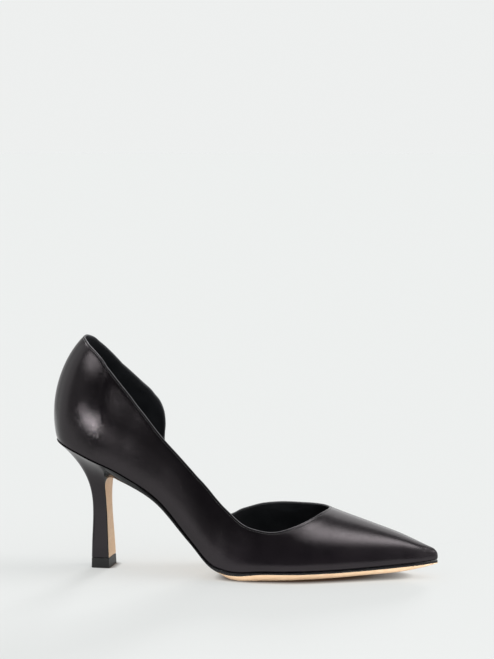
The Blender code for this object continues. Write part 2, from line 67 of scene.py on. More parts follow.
# The last, one row for each section from the heel back to the toe tip: the feather line, where the upper
# meets the sole, the ridge over the foot, and how the wall leaves the one and reaches the other
LAST_COLUMNS = (
    "x", "outer", "inner", "z", "lift",
    "ridge_x", "ridge_y", "ridge_z",
    "lean", "rise", "flare", "half", "pitch",
)
LAST = {
    "heel back": (0.2, 0.0, 0.0, HEEL_HEIGHT, 0.0, 31.0, 0.0, 150.5, -1.0, 32.0, 7.5, 18.0, 0.0),
    "heel corner": (6.0, -15.5, 15.5, 78.8, 0.0, 34.0, 0.0, 151.0, 1.0, 31.0, 7.2, 21.0, 0.0),
    "heel side": (24.0, -23.5, 23.5, 71.4, 0.0, 45.0, 0.0, 150.5, 7.0, 28.0, 5.5, 21.0, 0.0),
    "breast": (46.0, -23.5, 21.5, 61.3, 0.0, 63.0, 0.0, 139.0, 8.0, 27.0, 4.5, 19.0, 0.0),
    "waist": (70.0, -23.0, 18.0, 45.3, 2.0, 84.0, 0.0, 116.0, 8.0, 24.0, 4.0, 18.0, 0.0),
    "arch": (91.0, -27.2, 20.0, 22.2, 2.5, 103.0, 1.0, 93.0, 7.0, 21.0, 4.0, 18.0, 0.0),
    "joint rise": (103.5, -30.6, 23.8, 9.6, 1.8, 114.0, 1.5, 80.0, 5.5, 19.5, 4.2, 18.5, 0.0),
    "joint back": (113.0, -33.0, 28.0, 6.4, 0.8, 122.0, 2.0, 71.0, 4.0, 18.0, 4.5, 19.0, 0.0),
    "ball": (138.0, -BALL_OUTER, BALL_INNER, 7.0, 0.0, 142.0, 3.0, 54.0, 1.5, 15.0, 4.5, 20.0, 0.1),
    "joint front": (158.0, -34.5, 35.0, 7.4, 0.0, 160.0, 3.5, 45.2, 0.5, 13.0, 4.0, 20.0, 0.3),
    "throat": (174.0, -29.0, 31.0, 7.6, 0.0, 174.0, 3.5, 40.3, 0.0, 12.0, 3.5, 18.0, 0.38),
    "vamp": (196.0, -20.0, 23.5, 8.4, 0.0, 196.0, 3.0, 33.1, 0.0, 10.0, 2.5, 13.0, 0.32),
    "toe": (217.0, -10.8, 15.0, 9.6, 0.0, 216.0, 2.5, 26.3, 0.0, 8.0, 1.5, 8.5, 0.32),
    "toe corner": (231.5, -4.0, 7.7, 10.6, 0.0, 229.0, 2.0, 21.0, 0.0, 5.0, 1.0, 5.0, 0.5),
    "toe tip": (LENGTH + 0.4, 1.8, 1.8, 11.2, 0.0, 235.4, 1.8, 18.4, 0.0, 4.2, 0.8, 2.0, 0.62),
}

# The top edge of the upper seen square from the side, as x and z from the back of the collar to the throat
COLLAR_BACK = (18.6, HEEL_HEIGHT + BACK_HEIGHT)
OUTER_EDGE = (
    (20.3, 143.5), (25.0, 139.7), (32.8, 133.0), (45.2, 118.2), (58.6, 101.8), (71.3, 86.0), (93.1, 62.9),
    (102.7, 52.9), (112.5, 42.9), (129.4, 32.2), (142.0, 30.4), (155.4, 33.6), (161.8, 36.3), (167.5, 39.2),
)
INNER_EDGE = (
    (20.2, 144.0), (24.0, 139.6), (29.2, 134.0), (40.7, 121.9), (48.5, 115.0), (56.5, 107.9), (60.8, 102.7),
    (63.4, 96.4), (64.2, 89.0), (63.5, 79.0), (65.0, 67.5), (71.0, 57.0), (82.0, 45.0), (94.0, 34.5),
    (106.0, 31.4), (112.0, 34.4), (121.0, 37.3), (138.0, 40.0), (156.0, 40.9), (165.5, 41.5),
)
THROAT_X = 171.2

# The outsole, by its distance from the heel back: the height of its edge, how far its belly hangs below
# the edge before the floor flattens it, and how far its upper side hangs in the middle
SOLE_COLUMNS = ("x", "edge", "belly", "crown")
SOLE = (
    (33.0, 4.8, 0.0, 0.0),
    (42.0, 5.0, 0.0, 0.0),
    (50.0, 3.5, 0.2, 0.0),
    (58.0, 2.5, 0.4, 0.0),
    (80.0, 1.4, 1.0, 0.2),
    (102.0, 1.1, 1.4, 0.4),
    (110.0, 2.0, 2.6, 0.7),
    (119.0, 1.9, 6.2, 1.0),
    (138.0, 1.3, 7.0, 1.4),
    (160.0, 1.4, 6.0, 1.4),
    (196.0, 1.4, 4.4, 1.0),
    (216.0, 1.4, 3.8, 0.6),
    (LENGTH + 1.0, 1.3, 0.6, 0.0),
)
SOLE_MARGIN = 0.5
TOE_FLUSH = 14.0
SOLE_TIP = 0.3
BELLY_POWER = 5.0

# The insole lies inside the wall and stops short of the heel back and the toe tip
INSOLE_THICKNESS = 2.0
INSOLE_INSET = WALL + GAP + 0.1
INSOLE_BACK = 1.2
INSOLE_TIP = 6.0

# The heel by height: its back, its front and half its width. Then its rounded back corner and the shares of
# its half outline where that starts and ends, its seat under the upper, and its flare up to the seat
HEEL_COLUMNS = ("z", "back", "front", "half")
HEEL = (
    (0.0, 23.3, 35.0, 9.0),
    (15.0, 23.5, 34.3, 8.3),
    (34.0, 23.9, 33.3, 6.9),
    (46.0, 23.7, 32.8, 7.2),
    (66.0, 23.4, 33.1, 8.6),
)
HEEL_CORNER = 1.6
CORNER_START = 0.5
CORNER_END = 0.72
SEAT_FRONT = 35.5
SEAT_MARGIN = 0.1
HEEL_LIP = 0.3
FLARE_SPAN = 42.0
FLARE_POWER = 2.4
FLARE_FRONT_POWER = 5.0
FLARE_FADE = 3.0

# The fold where the outsole turns down the heel as a thin flap, bedded a little into the heel's front
FLAP_THICKNESS = 0.8
FLAP_BED = 0.05
SEAT_LAP = 3.0
FOLD_FRONT = 42.0
FOLD_BOTTOM = 52.0
SHANK_GRADE = 0.26
TUCK_START = 66.0
TUCK = 0.8

# Small steps for slopes, along the feather line, up the wall and along the sole, fineness of searches, and
# how far from the heel back the search on each side starts
STEP_S = 0.2
STEP_T = 0.004
STEP_SOLE = 1.0
BESIDE_RIDGE = 0.985
FINE = 6000
COARSE_S = 240
COARSE_T = 80
REFINEMENTS = 8
COLLAR_CLEAR = 6.0

# The folded top edge: a round rim, a bead down to the stitch line, and the soft end of the fold
RIM_RISE = 0.4
RIM_STEPS = 8
BEAD_HEIGHT = 0.02
BEAD_WIDTH = 0.4
STITCH_LINE = 1.0
STITCH_GROOVE = 0.07
STITCH_GROOVE_WIDTH = 0.3
FOLD_HEIGHT = 0.08
FOLD_START = 3.0
FOLD_END = 7.0

# The stitches, and the rings of one stitch: place along it, share of its radius, and height in radii
STITCH_PITCH = 1.9
STITCH_LENGTH = 1.5
STITCH_RADIUS = 0.15
STITCH_SIDES = 6
STITCH_RINGS = (
    (-0.5, 0.35, -0.6),
    (-0.38, 0.9, 0.1),
    (0.0, 1.0, 0.45),
    (0.38, 0.9, 0.1),
    (0.5, 0.35, -0.6),
)

# Rows of the leather: distances below the top edge that draw the rim, then even rows down to the tucked foot.
# Columns stand near the place under their tops and bend on the way up
EDGE_ROWS = (0.0, 0.2, 0.4, 0.55, 0.7, 0.8, 0.9, 1.0, 1.1, 1.2, 1.3, 1.5, 1.8, 2.4, 3.2, 4.2, 5.5, 7.0)
WALL_ROWS = 30
OUTER_STEPS = 230
INNER_STEPS = 280
VAMP_STEPS = 90
EDGE_CROWDING = 0.6
FOOT_SPREAD = 0.55
ROW_CURVE = 1.3
PATH_SAMPLES = 90
EDGE_SAMPLE = 0.1
FOOT_TUCK = 0.3
FOOT_ROUND = 0.9

# Rows of the lining in the same way, the seam under its strip of painted rim highlight, and how the wall
# thins at the rim
LINING_EDGE_ROWS = (0.0, 0.5, 0.9, 1.2, 2.0, 4.0)
LINING_ROWS = 22
LINING_SEAM_ROW = 2
LINING_SEAM = 0.12
RIM_THINNING = 0.6

# Soft troughs of the leather on the outer side: a line from x, z to x, z, with its width and depth
CREASE_FACING = 0.5
CREASES = (
    (30.0, 112.0, 52.0, 96.0, 11.0, 0.22),
    (42.0, 84.0, 62.0, 72.0, 6.0, 0.05),
    (118.0, 30.0, 132.0, 20.0, 6.0, 0.1),
)

# Densities and small forms of the other pieces. The top piece's profile is height and inset, the sock's is a
# share of its thickness and inset
HEEL_RINGS = 90
HEEL_SIDE_STEPS = 50
HEEL_FRONT_STEPS = 10
HEEL_CROWDING = 1.6
TOP_PIECE_PROFILE = (
    (TOP_PIECE_HEIGHT, 0.35),
    (TOP_PIECE_HEIGHT - 0.12, 0.1),
    (TOP_PIECE_HEIGHT - 0.4, 0.0),
    (0.3, 0.0),
    (0.08, 0.08),
    (0.0, 0.25),
)
FLAP_ROWS = 60
SOLE_ROWS = 190
SOLE_STEPS = 30
SOLE_CROWDING = 1.4
SOLE_EDGE_STEPS = 6
SOLE_EDGE_BULGE = 0.2
SOCK_ROWS = 120
SOCK_STEPS = 24
SOCK_PROFILE = ((1.0, 0.1), (0.6, -0.3), (0.0, 0.0))
SHARP_ANGLE = 50.0
MERGE_DISTANCE = 1e-6

# Material slots of the two pieces that have several
LEATHER_SLOT, LINING_SLOT, RIM_HIGHLIGHT_SLOT = range(3)
TAN_SLOT, PAINT_SLOT = range(2)

# Patterns in the finishes: features in a metre, heights in millimetres, details, and the ranges of a pattern
# that are spread over tones or roughness
TONE_SCALE = 90.0
GLOSS_SCALE = 300.0
SWELL_SCALE = 55.0
SWELL_HEIGHT = 1.2
GRAIN_HEIGHT = 0.12
GRAIN_WANDER = 0.35
GRAIN_BEND = 0.0006
GRAIN_EDGE = 0.22
PORE_SCALE = 5200.0
PORE_HEIGHT = 0.06
PLAIN_DETAIL = 1.0
SOFT_DETAIL = 2.0
TONE_DETAIL = 3.0
FIBRE_DETAIL = 4.0
TONE_RANGE = (0.35, 0.65)
WIDE_RANGE = (0.3, 0.7)

# Leathers: two tones, range of roughness, strength of the shine, and the grain as cells in a metre and the
# strengths of its cells, pores and swells
BLACK_TONES = ((0.0042, 0.0034, 0.0044), (0.0060, 0.0048, 0.0060))
LINING_TONES = ((0.014, 0.0154, 0.0174), (0.021, 0.0226, 0.0252))
# The rim's lighter grey is a painted highlight on the folded top edge and on the lining just inside it
RIM_HIGHLIGHT_TONES = ((0.06, 0.062, 0.066), (0.10, 0.104, 0.108))
LEATHERS = {
    "black calf leather": (BLACK_TONES, (0.12, 0.17), 0.5, (1200.0, 0.14, 0.03, 0.05)),
    "black heel leather": (BLACK_TONES, (0.12, 0.17), 0.5, (1800.0, 0.03, 0.02, 0.03)),
    "black lining leather": (LINING_TONES, (0.42, 0.54), 0.2, (2200.0, 0.08, 0.1, 0.04)),
    "painted rim highlight": (RIM_HIGHLIGHT_TONES, (0.55, 0.65), 0.3, (1800.0, 0.03, 0.02, 0.03)),
}
LEATHER_IOR = 1.5
DULL_IOR = 1.45
GLOSS_TINT = (1.0, 0.91, 0.95)

# Sole leather, edge paint, rubber and thread in the same terms; a relief is its strength and its height
TAN_TONES = ((0.58, 0.39, 0.24), (0.70, 0.51, 0.34))
TAN_CLOUD = (0.64, 0.44, 0.28)
CLOUD_RANGE = (0.4, 0.75)
CLOUD_SHARES = (0.0, 0.5)
TAN_GLOSS = (0.42, 0.56)
TAN_SHINE = 0.35
TAN_FIBRES = 700.0
FIBRE_STRETCH = (0.25, 1.0, 1.0)
FIBRE_RELIEF = (0.25, 0.08)
TAN_PORES = 0.12
PAINT_COLOUR = (0.006, 0.006, 0.0065)
PAINT_GLOSS = (0.18, 0.28)
PAINT_SHINE = 0.45
PAINT_RELIEF = (0.15, 0.06)
RUBBER_TONES = ((0.01, 0.01, 0.01), (0.018, 0.018, 0.018))
RUBBER_GLOSS = (0.45, 0.6)
RUBBER_STIPPLE = 3500.0
RUBBER_RELIEF = (0.3, 0.04)
THREAD_TONES = ((0.008, 0.008, 0.008), (0.022, 0.021, 0.022))
THREAD_GLOSS = (0.4, 0.55)
THREAD_SHEEN = 0.1
THREAD_TWIST = 3000.0
THREAD_RELIEF = (0.5, 0.05)

# Studio: pale floor and surroundings, in metres and degrees. The floor also glows by itself. Where the shoe
# stands a warm shade is painted into its colour and glow: how near the shoe is there, how open the place is
# from full shade to none, the painted shade's colour, and the side that light gets in from
FLOOR_SIZE = 120.0
FLOOR_COLOUR = (0.3, 0.302, 0.301)
FLOOR_GLOW = (0.442, 0.453, 0.448)
GLOW_STRENGTH = 1.0
FLOOR_ROUGHNESS = 0.75
FLOOR_SHINE = 0.0
FLOOR_CONTACT = 0.0055
CONTACT_SHARES = (0.3, 0.9)
PAINTED_SHADE_TINT = (0.035, 0.021, 0.013)
CONTACT_LEAN = (-0.45, -0.45, 0.77)
WORLD_COLOUR = (0.853, 0.866, 0.860)

# Soft suns that cast the shadows to the left and to the front: strength, angle across, azimuth, elevation
SUNS = {
    "right_sun": (1.2, 35.0, 105.0, 42.0),
    "rear_sun": (3.8, 16.0, 177.0, 12.0),
}

# A low strip light that lifts the rounded belly of the sole: middle, power, length, height and spread
STRIP_MIDDLE = (0.1, -0.45, 0.006)
STRIP_POWER = 0.035
STRIP_SIZE = (0.24, 0.01)
STRIP_SPREAD = 8.0

# Soft boxes and dark flags that show in gloss only: middle in metres, azimuth, elevation and roll of the side
# they face, width and height, and strength
FRONT = (0.0, 0.0, 0.0)
UP = (0.0, 90.0, 0.0)
CARDS = {
    "front_flag": ((0.1, -0.45, 0.43), FRONT, (0.8, 0.86), 0.06),
    "left_flag": ((-0.6, -0.45, 0.43), FRONT, (0.6, 0.86), 0.35),
    "right_flag": ((0.87, -0.45, 0.43), FRONT, (0.74, 0.86), 0.5),
    "left_rear_flag": ((-0.7, 0.7, 0.4), (-135.0, 0.0, 0.0), (1.0, 0.8), 0.55),
    "heel_reflector": ((-0.12, -0.15, 0.022), FRONT, (0.07, 0.042), 0.98),
    "quarter_reflector": ((-0.074, -0.152, 0.08), FRONT, (0.05, 0.08), 0.2),
    "fore_table_flag": ((0.365, -0.275, 0.001), UP, (0.85, 0.35), 0.06),
    "heel_table_flag": ((-0.2, -0.36, 0.001), UP, (0.38, 0.18), 0.06),
    "ceiling_flag": ((0.2, -0.85, 0.86), UP, (2.6, 0.84), 0.1),
    "rear_ceiling_flag": ((0.2, 0.31, 0.86), UP, (2.6, 0.34), 0.45),
    "rear_soft_box": ((0.0, 1.0, 1.02), FRONT, (2.4, 1.45), 1.8),
    "overhead_soft_box": ((0.46, -0.08, 0.85), UP, (0.32, 0.28), 5.6),
    "overhead_front_skirt": ((0.44, -0.31, 0.85), UP, (0.36, 0.18), 2.4),
    "overhead_rear_skirt": ((0.42, 0.1, 0.85), UP, (0.3, 0.08), 1.8),
    "rim_soft_box": ((-0.11, 0.05, 0.85), UP, (0.36, 0.4), 22.0),
    "rim_skirt": ((-0.52, 0.0, 0.85), UP, (0.46, 0.3), 6.0),
    "right_soft_box": ((1.5, 0.05, 1.1), (95.0, 36.0, 0.0), (0.8, 0.25), 4.5),
    "low_soft_box": ((-0.154, -0.15, 0.0885), (0.0, 0.0, -11.0), (0.055, 0.008), 34.0),
    "low_reflector": ((-0.104, -0.15, 0.0715), (0.0, 0.0, -20.0), (0.044, 0.009), 3.2),
    "left_soft_box": ((-0.21, -0.174, 0.254), (0.0, 0.0, -40.0), (0.17, 0.045), 4.3),
    "front_soft_box": ((-0.079, -0.15, 0.1225), (0.0, 0.0, -41.0), (0.036, 0.005), 4.5),
}

# Camera, found from the photograph: its azimuth, elevation, distance in metres, the place in the shoe's
# frame that it looks at, and a lens in millimetres on a sensor as wide as the picture is high
CAMERA_AZIMUTH = 11.0
CAMERA_ELEVATION = 5.0
CAMERA_DISTANCE = 1.3
CAMERA_AIM = (120.6, 0.0, 149.9)
LENS = 115.87
SENSOR = 36.0

# From the shoe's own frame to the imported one, by the back of the top piece, which both know
TOP_PIECE_BACK = HEEL[0][HEEL_COLUMNS.index("back")]
PACKED_BACK = (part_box("top_piece")[0] / MM).x
SHIFT = np.array([PACKED_BACK - TOP_PIECE_BACK, 0.0, 0.0])

# Columns of the closed loop of sections: place on the feather line, place on the ridge, and the wall's form
FOOT = slice(0, 3)
RIDGE = slice(3, 6)
FORM = slice(6, 11)


def smooth(knots, values, at):
    """Smooth cubic curve through values at increasing knots, with slopes from each three neighbours."""
    knots = np.asarray(knots, float)
    values = np.asarray(values, float).reshape(len(knots), -1)
    at = np.atleast_1d(np.asarray(at, float))
    step = np.diff(knots)[:, None]
    chord = np.diff(values, axis=0) / step
    slope = np.empty_like(values)
    slope[1:-1] = (chord[:-1] * step[1:] + chord[1:] * step[:-1]) / (step[:-1] + step[1:])
    slope[[0, -1]] = chord[[0, -1]]
    i = np.clip(np.searchsorted(knots, at, side="right") - 1, 0, len(knots) - 2)
    h = step[i]
    q = ((at - knots[i]) / h[:, 0])[:, None]
    rise = q * q * (3.0 - 2.0 * q)
    start = values[i] * (1.0 - rise) + slope[i] * h * q * (1.0 - q) ** 2
    return start + values[i + 1] * rise - slope[i + 1] * h * q * q * (1.0 - q)


def part(low, high, value):
    """Share of the way from low to high, kept between 0 and 1."""
    return np.clip((value - low) / (high - low), 0.0, 1.0)


def ramp(low, high, value):
    """Soft step from 0 at low to 1 at high."""
    q = part(low, high, value)
    return q * q * (3.0 - 2.0 * q)


def hump(middle, width, value):
    """Soft bump of height 1 around middle."""
    return np.exp(-((value - middle) / width) ** 2)


def unit(rows):
    """Rows scaled to the length 1."""
    return rows / np.linalg.norm(rows, axis=1)[:, None]


def run_along(points):
    """Distance along a curve at each of its points."""
    return np.concatenate([[0.0], np.cumsum(np.linalg.norm(np.diff(points, axis=0), axis=1))])


def column(table, columns, name):
    """One named column of a table."""
    return np.array([row[columns.index(name)] for row in table])


def closed_last():
    """The sections as one loop: heel back, outer side to the toe tip, inner side back to the heel."""
    rows = np.array(list(LAST.values()))
    get = {name: rows[:, i] for i, name in enumerate(LAST_COLUMNS)}
    shared = [get[name] for name in LAST_COLUMNS[LAST_COLUMNS.index("ridge_x"):]]
    outer = np.column_stack([get["x"], get["outer"], get["z"]] + shared)
    inner = np.column_stack([get["x"], get["inner"], get["z"] + get["lift"]] + shared)
    span = [np.linalg.norm(np.diff(side[:, :2], axis=0), axis=1) for side in (outer, inner)]
    knots = np.concatenate([[0.0], np.cumsum((span[0] + span[1]) / 2.0)])
    half = knots[-1]
    loop = np.vstack([outer, inner[-2:0:-1]])
    loop_knots = np.concatenate([knots, 2.0 * half - knots[-2:0:-1]])
    wide = np.vstack([loop, loop, loop])
    wide_knots = np.concatenate([loop_knots - 2.0 * half, loop_knots, loop_knots + 2.0 * half])
    return wide_knots, wide, half


LOOP_KNOTS, LOOP, TOE = closed_last()


def feather(s):
    """Points of the feather line and the outward direction there, s millimetres from the heel back."""
    s = np.atleast_1d(np.asarray(s, float))
    ahead = smooth(LOOP_KNOTS, LOOP[:, :2], s + STEP_S)
    behind = smooth(LOOP_KNOTS, LOOP[:, :2], s - STEP_S)
    along = unit(ahead - behind)
    out = np.column_stack([along[:, 1], -along[:, 0], np.zeros(len(s))])
    return smooth(LOOP_KNOTS, LOOP[:, FOOT], s), out


def wall(s, t):
    """Point on the outside of the last: s along the feather line, t from it (0) up to the ridge (1)."""
    s = np.atleast_1d(np.asarray(s, float))
    t = np.broadcast_to(np.asarray(t, float), s.shape)[:, None]
    values = smooth(LOOP_KNOTS, LOOP, s)
    foot, out = feather(s)
    ridge = values[:, RIDGE]
    lean, rise, flare, half, pitch = values[:, FORM].T[:, :, None]
    handle = foot + np.hstack([lean, np.zeros_like(lean), rise]) + out * flare
    shoulder = ridge + out * half
    shoulder[:, 2:] -= half * pitch * out[:, :1]
    u = 1.0 - t
    return u ** 3 * foot + 3.0 * u * u * t * handle + 3.0 * u * t * t * shoulder + t ** 3 * ridge


def side_normal(s, t):
    """Direction out of the wall of one side."""
    across = wall(s + STEP_S, t) - wall(s - STEP_S, t)
    upward = wall(s, t + STEP_T) - wall(s, t - STEP_T)
    return unit(np.cross(across, upward))


def wall_normal(s, t):
    """Direction out of the wall; on the ridge both sides share one direction, so they meet there."""
    beside = np.minimum(t, BESIDE_RIDGE)
    normal = side_normal(s, beside)
    on_ridge = t == 1.0
    normal[on_ridge] += side_normal(-s[on_ridge], beside[on_ridge])
    return unit(normal)


def find_on_wall(x, z, low, high):
    """The place (s, t) between s = low and high where the wall shows at x and z seen from the side."""
    s_grid, t_grid = np.meshgrid(np.linspace(low, high, COARSE_S), np.linspace(0.0, 1.0, COARSE_T))
    points = wall(s_grid.ravel(), t_grid.ravel())
    best = np.argmin((points[:, 0] - x) ** 2 + (points[:, 2] - z) ** 2)
    place = np.array([s_grid.ravel()[best], t_grid.ravel()[best]])
    for _ in range(REFINEMENTS):
        here = wall(place[:1], place[1:])[0]
        by_s = (wall(place[:1] + STEP_S, place[1:])[0] - here) / STEP_S
        by_t = (wall(place[:1], place[1:] + STEP_T)[0] - here) / STEP_T
        slopes = np.array([[by_s[0], by_t[0]], [by_s[2], by_t[2]]])
        place = place + np.linalg.solve(slopes, [x - here[0], z - here[2]])
    return place


def find_on_back(x, z):
    """The t on the section at the heel back that is nearest to x and z seen from the side."""
    t = np.linspace(0.0, 1.0, FINE)
    points = wall(np.zeros(len(t)), t)
    return t[np.argmin((points[:, 0] - x) ** 2 + (points[:, 2] - z) ** 2)]


def find_on_ridge(x):
    """The s whose section reaches the ridge at x."""
    s = np.linspace(0.0, TOE, FINE)
    return s[np.argmin(np.abs(wall(s, np.ones(len(s)))[:, 0] - x))]


def ease(steps):
    """Shares from 0 to 1, closer together at both ends."""
    even = np.linspace(0.0, 1.0, steps + 1)
    return even - EDGE_CROWDING * np.sin(2.0 * np.pi * even) / (2.0 * np.pi)


def edge_columns():
    """Places (s, t) along the top edge, lowered for the round rim, from the back by each side to the throat.

    Each side's last place is mirrored over the ridge, so that the edge crosses the throat smoothly.
    """
    throat = find_on_ridge(THROAT_X + RIM_RISE)
    back = np.array([0.0, find_on_back(COLLAR_BACK[0], COLLAR_BACK[1] - RIM_RISE)])
    outer = [find_on_wall(x, z - RIM_RISE, COLLAR_CLEAR, TOE) for x, z in OUTER_EDGE]
    inner = [find_on_wall(x, z - RIM_RISE, -TOE, -COLLAR_CLEAR) for x, z in INNER_EDGE]
    past_outer = (-inner[-1][0], 2.0 - inner[-1][1])
    past_inner = (-outer[-1][0], 2.0 - outer[-1][1])
    ends = (throat, 1.0), (-throat, 1.0)
    places = np.array([past_outer, ends[0], *outer[::-1], back, *inner, ends[1], past_inner])
    knots = run_along(wall(places[:, 0], places[:, 1]))
    first, middle, last = knots[1], knots[len(outer) + 2], knots[-2]
    outer_side = smooth(knots, places, middle + (first - middle) * ease(OUTER_STEPS))
    inner_side = smooth(knots, places, middle + (last - middle) * ease(INNER_STEPS))
    outer_side[-1], inner_side[-1] = ends
    return outer_side, inner_side, throat


def make_piece(name, points, faces, materials, node, slots=None):
    """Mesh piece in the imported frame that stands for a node. Slots give each face its material."""
    mesh = bpy.data.meshes.new(name)
    mesh.from_pydata(((np.asarray(points) + SHIFT) * MM).tolist(), [], faces)
    for material in materials:
        mesh.materials.append(material)
    if slots:
        mesh.polygons.foreach_set("material_index", slots)
    tidy = bmesh.new()
    tidy.from_mesh(mesh)
    bmesh.ops.remove_doubles(tidy, verts=tidy.verts, dist=MERGE_DISTANCE)
    bmesh.ops.recalc_face_normals(tidy, faces=tidy.faces)
    tidy.to_mesh(mesh)
    tidy.free()
    mesh.shade_smooth()
    mesh.set_sharp_from_angle(angle=math.radians(SHARP_ANGLE))
    piece = bpy.data.objects.new(name, mesh)
    bpy.context.scene.collection.objects.link(piece)
    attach(piece, BODY)
    if node:
        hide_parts(node)
    return piece


def grid_faces(start, columns, rows):
    """Quads of a grid of points that begins at start and lists its columns one after another."""
    a = (start + np.arange(columns - 1)[:, None] * rows + np.arange(rows - 1)).ravel()
    return np.column_stack([a, a + rows, a + rows + 1, a + 1]).tolist()


def tube_faces(start, end, size):
    """Quads between closed rings of a size, stacked from the point start up to the point end."""
    faces = []
    for ring in range(start, end - size, size):
        for i in range(size):
            a, b = ring + i, ring + (i + 1) % size
            faces.append([a, b, b + size, a + size])
    return faces


def spread_feet(tops):
    """Where each column stands on the feather line: under its top, but evened out past steep edges."""
    even = np.linspace(tops[0], tops[-1], len(tops))
    return tops + (even - tops) * FOOT_SPREAD


def upper_columns():
    """Tops (s, t) and feet s of all columns, from the toe tip by the inner side, heel and outer side."""
    outer_edge, inner_edge, throat = edge_columns()
    ridge = throat + (TOE - throat) * ease(VAMP_STEPS)[1:]
    vamp = np.column_stack([ridge, np.ones(len(ridge))])
    tops = np.vstack([vamp[::-1] * (-1.0, 1.0), inner_edge[::-1], outer_edge[1:], vamp])
    feet = [-ridge[::-1], spread_feet(inner_edge[:, 0])[::-1], spread_feet(outer_edge[:, 0])[1:], ridge]
    edge = slice(len(ridge), len(ridge) + len(inner_edge) + len(outer_edge) - 1)
    return tops, np.concatenate(feet), edge


def column_path(tops, feet, share):
    """Places (s, t) a share of the way up each column, one row of shares for each column."""
    s = feet[:, None] + (tops[:, :1] - feet[:, None]) * share ** ROW_CURVE
    return s, tops[:, 1:] * share


def rows_below(tops, feet, distances, even_rows):
    """Places (s, t) at distances below the tops, then in even rows down, and distances above the feet."""
    share = np.broadcast_to(np.linspace(1.0, 0.0, PATH_SAMPLES), (len(tops), PATH_SAMPLES))
    s, t = column_path(tops, feet, share)
    points = wall(s.ravel(), t.ravel()).reshape(len(tops), PATH_SAMPLES, 3)
    run = np.linalg.norm(np.diff(points, axis=1), axis=2)
    run = np.hstack([np.zeros((len(tops), 1)), np.cumsum(run, axis=1)])
    length = run[:, -1:]
    near = np.asarray(distances) * np.minimum(1.0, length / (2.0 * distances[-1]))
    rest = near[:, -1:] + (length - near[:, -1:]) * np.linspace(0.0, 1.0, even_rows + 1)[1:]
    below = np.hstack([near, rest])
    share = np.array([np.interp(below[i], run[i], share[i]) for i in range(len(tops))])
    s, t = column_path(tops, feet, share)
    return s, t, length - below


def edge_loop(tops, edge):
    """The top edge as a closed curve: points, directions along it, and directions up off the edge."""
    s, t = tops[edge].T
    points = wall(s, t)
    out = wall_normal(s, t)
    out[0] = out[-1] = (out[0] + out[-1]) / np.linalg.norm(out[0] + out[-1])
    along = np.empty_like(points)
    along[1:-1] = points[2:] - points[:-2]
    along[0] = along[-1] = points[1] - points[-2]
    along = unit(along)
    return points, along, unit(np.cross(out, along))


def resample(points, spacing):
    """Rows of a curve at even spacing. The first three columns are places, any others go with them."""
    run = run_along(points[:, :3])
    at = np.linspace(0.0, run[-1], int(run[-1] / spacing) + 1)
    return np.column_stack([np.interp(at, run, values) for values in points.T])


def distance_to(curve, points):
    """Distance of each point from the points of a dense curve."""
    tree = KDTree(len(curve))
    for i, point in enumerate(curve):
        tree.insert(point, i)
    tree.balance()
    return np.array([tree.find(point)[2] for point in points])


def top_edge_relief(distance):
    """Height of the folded edge over the plain leather, by distance below the top edge."""
    bead = BEAD_HEIGHT * (1.0 - ramp(BEAD_WIDTH, STITCH_LINE, distance))
    groove = STITCH_GROOVE * hump(STITCH_LINE, STITCH_GROOVE_WIDTH, distance)
    fold = FOLD_HEIGHT * (1.0 - ramp(FOLD_START, FOLD_END, distance))
    return bead - groove + fold


def crease_relief(points, normals):
    """Depth of the soft troughs of the leather, by place on the shoe."""
    relief = np.zeros(len(points))
    facing = ramp(0.0, CREASE_FACING, -normals[:, 1])
    for x0, z0, x1, z1, width, depth in CREASES:
        start = np.array([x0, z0])
        span = np.array([x1, z1]) - start
        flat = points[:, [0, 2]] - start
        share = np.clip(flat @ span / (span @ span), 0.0, 1.0)
        away = np.linalg.norm(flat - share[:, None] * span, axis=1)
        relief -= depth * hump(0.0, width, away) * facing
    return relief


def leather_side(tops, feet, edge_points):
    """Points of the outside with its relief: columns of rows from the top edge down."""
    s, t, above_foot = rows_below(tops, feet, EDGE_ROWS, WALL_ROWS)
    plain = wall(s.ravel(), t.ravel())
    normals = wall_normal(s.ravel(), t.ravel())
    below_edge = distance_to(resample(edge_points, EDGE_SAMPLE), plain)
    relief = top_edge_relief(below_edge) + crease_relief(plain, normals)
    relief -= FOOT_TUCK * (1.0 - ramp(0.0, FOOT_ROUND, above_foot.ravel()))
    return (plain + normals * relief[:, None]).reshape(*s.shape, 3)


def lining_side(tops, feet):
    """Points of the inside: columns of rows from the top edge down."""
    s, t, _ = rows_below(tops, feet, LINING_EDGE_ROWS, LINING_ROWS)
    near_rim = 1.0 - ramp(0.0, LINING_EDGE_ROWS[-1], np.array(LINING_EDGE_ROWS))
    depth = np.full(s.shape, WALL)
    depth[:, :len(near_rim)] -= RIM_THINNING * near_rim
    depth[:, LINING_SEAM_ROW] -= LINING_SEAM
    inside = wall(s.ravel(), t.ravel()) - wall_normal(s.ravel(), t.ravel()) * depth.reshape(-1, 1)
    return inside.reshape(*s.shape, 3)


def rim_arcs(outer, inner, up):
    """Points of the round rim: arcs over the top edge from its outer to its inner line."""
    turn = np.linspace(0.0, np.pi, RIM_STEPS + 1)[1:-1, None]
    middle = (outer + inner)[:, None] / 2.0
    half = (outer - inner)[:, None] / 2.0
    arcs = middle + half * np.cos(turn) + up[:, None] * RIM_RISE * np.sin(turn)
    return np.concatenate([outer[:, None], arcs, inner[:, None]], axis=1)


